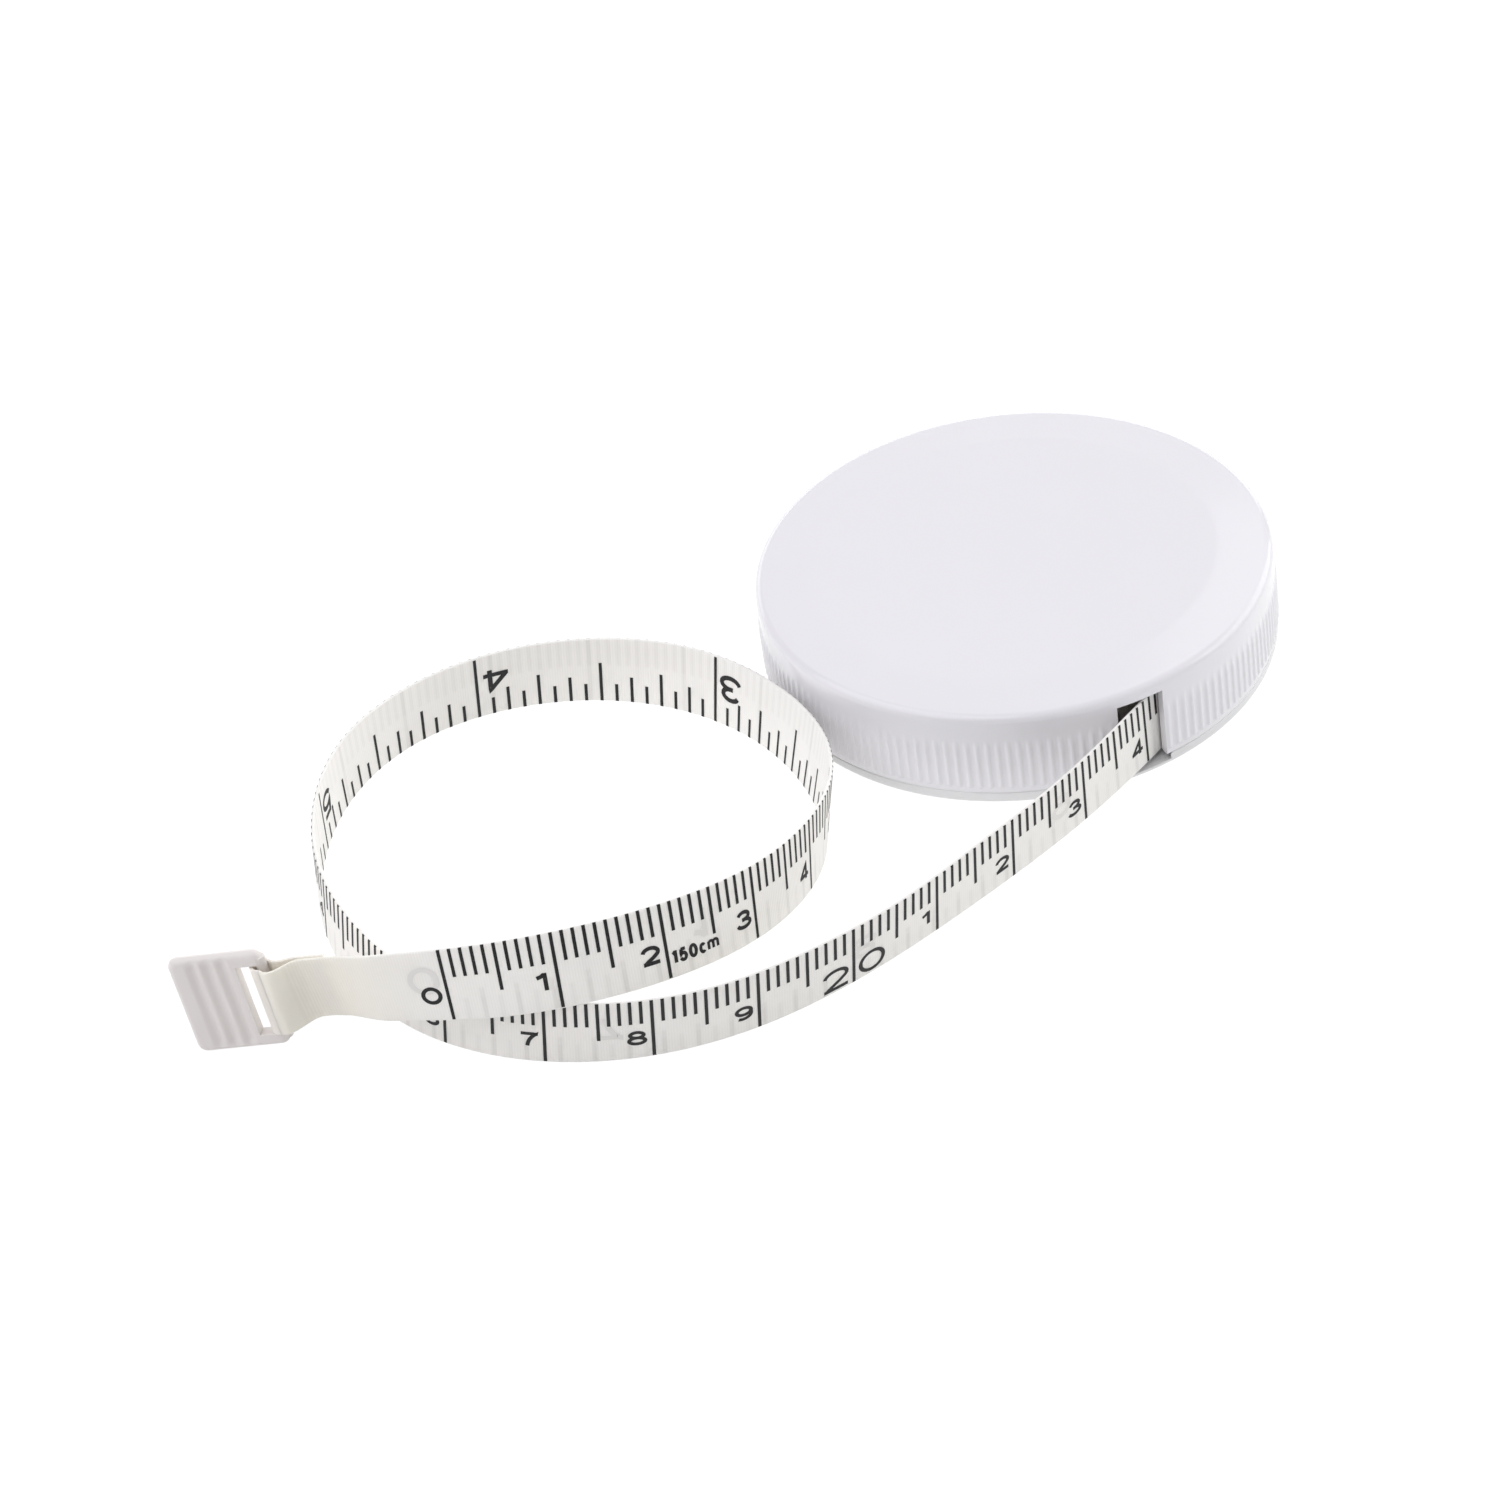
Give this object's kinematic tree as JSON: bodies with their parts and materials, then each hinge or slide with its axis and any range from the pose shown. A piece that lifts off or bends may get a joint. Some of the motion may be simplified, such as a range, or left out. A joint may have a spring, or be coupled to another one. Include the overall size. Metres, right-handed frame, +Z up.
{
  "type": "cloth tape measure",
  "caption": "Round push-button retractable sewing tape: ribbed case, sprung reel with brake, looped cloth tape with a ridged grip tab.",
  "frame": {"origin": "centre of the case's underside, on the surface that the case lies on", "axes": "+Z up through the middle of the case, which is the reel's axis; the tape leaves the case towards -Y and -X"},
  "size_m": [0.111, 0.0803, 0.0152],
  "materials": {
    "case_plastic": "smooth white moulding with a soft sheen",
    "inner_plastic": "plain off-white moulding",
    "tab_plastic": "warm white moulding with grip ridges",
    "tape_cloth": "coated white woven tape with a black printed scale on both faces",
    "steel": "bright spring steel",
    "pad_rubber": "black moulded rubber"
  },
  "bodies": {
    "case": {"case_cover": "case_plastic", "case_base": "case_plastic", "fixed_arbor": "inner_plastic", "arbor_clip": "steel", "drum_washer": "steel", "power_spring": "steel", "brake_spring": "steel", "tape_lead": "tape_cloth", "tape_free": "tape_cloth", "tape_hem": "tape_cloth"},
    "reel": {"reel_drum": "inner_plastic", "spring_retainer": "inner_plastic", "tape_anchor": "steel", "tape_wound": "tape_cloth"},
    "button": {"push_button": "case_plastic"},
    "brake": {"brake_disc": "inner_plastic", "brake_pad_1": "pad_rubber", "brake_pad_2": "pad_rubber", "brake_pad_3": "pad_rubber"},
    "tab": {"end_tab": "tab_plastic"}
  },
  "joints": [
    {"name": "reel_spin", "type": "hinge", "parent": "case", "child": "reel", "pos_m": [0, 0, 0.005], "axis": [0, 0, 1], "range_deg": [-4250, 740], "deforming": ["power_spring", "tape_wound", "tape_lead"]},
    {"name": "button_press", "type": "slide", "parent": "case", "child": "button", "axis": [0, 0, 1], "range_m": [0, 0.0008], "stiffness_N_per_m": 1500},
    {"name": "brake_lift", "type": "slide", "parent": "case", "child": "brake", "axis": [0, 0, 1], "range_m": [0, 0.0008], "deforming": ["brake_spring"]},
    {"name": "tab_swing", "type": "hinge", "parent": "case", "child": "tab", "pos_m": [-0.07578, -0.04406, 0.0065], "axis": [-0.11, 0.09, 0.9898], "range_deg": [-120, 120]}
  ],
  "couplings": [
    {"joint": "brake_lift", "follows": "button_press", "ratio": 1}
  ]
}
